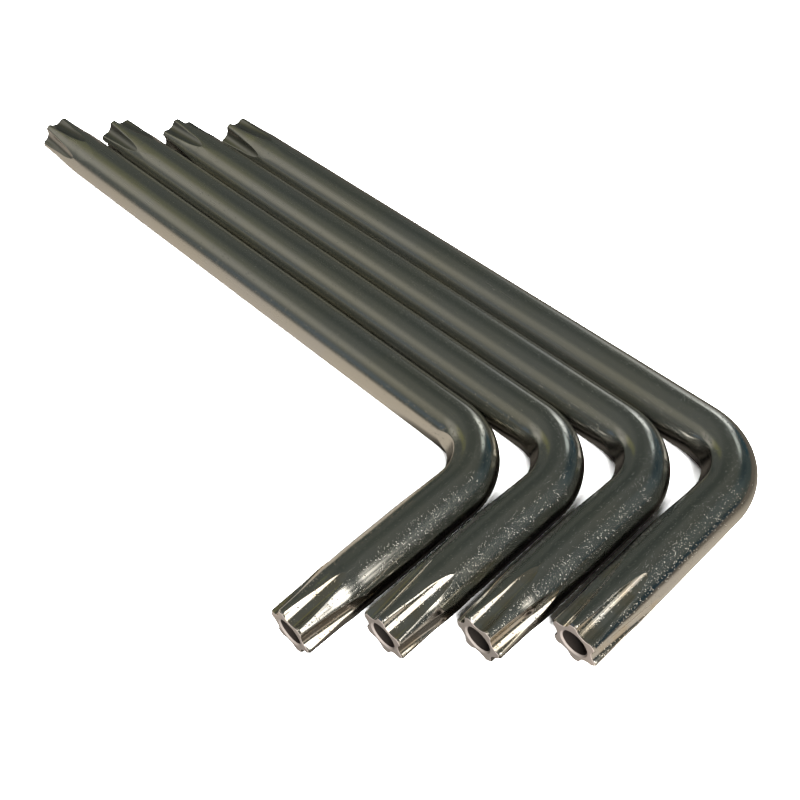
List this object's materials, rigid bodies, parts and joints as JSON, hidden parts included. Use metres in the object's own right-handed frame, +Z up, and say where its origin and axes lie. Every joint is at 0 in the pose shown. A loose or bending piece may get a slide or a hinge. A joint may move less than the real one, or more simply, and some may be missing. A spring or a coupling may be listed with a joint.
{
  "type": "star key set",
  "caption": "Set of L-shaped star keys: bent round steel bars with a six-lobe star and a pin hole on both ends, nested side by side.",
  "frame": {"origin": "under the middle of the set's bounding box, on the surface that the keys lie on", "axes": "+Z up, +X along the long arms from their stars towards the bends, short arms point towards -Y"},
  "size_m": [0.1322, 0.0598, 0.007],
  "materials": {
    "plated_steel": "nickel-plated tool steel, satin with drawing lines and fine pits, bare machined end faces"
  },
  "bodies": {
    "key_1": {"star_key_1": "plated_steel"},
    "key_2": {"star_key_2": "plated_steel"},
    "key_3": {"star_key_3": "plated_steel"},
    "key_4": {"star_key_4": "plated_steel"}
  },
  "joints": [
    {"name": "spread_key_2", "type": "slide", "parent": "key_1", "child": "key_2", "axis": [0.7071, 0.7071, 0], "range_m": [0, 0.03]},
    {"name": "spread_key_3", "type": "slide", "parent": "key_2", "child": "key_3", "axis": [0.7071, 0.7071, 0], "range_m": [0, 0.03]},
    {"name": "spread_key_4", "type": "slide", "parent": "key_3", "child": "key_4", "axis": [0.7071, 0.7071, 0], "range_m": [0, 0.03]}
  ]
}
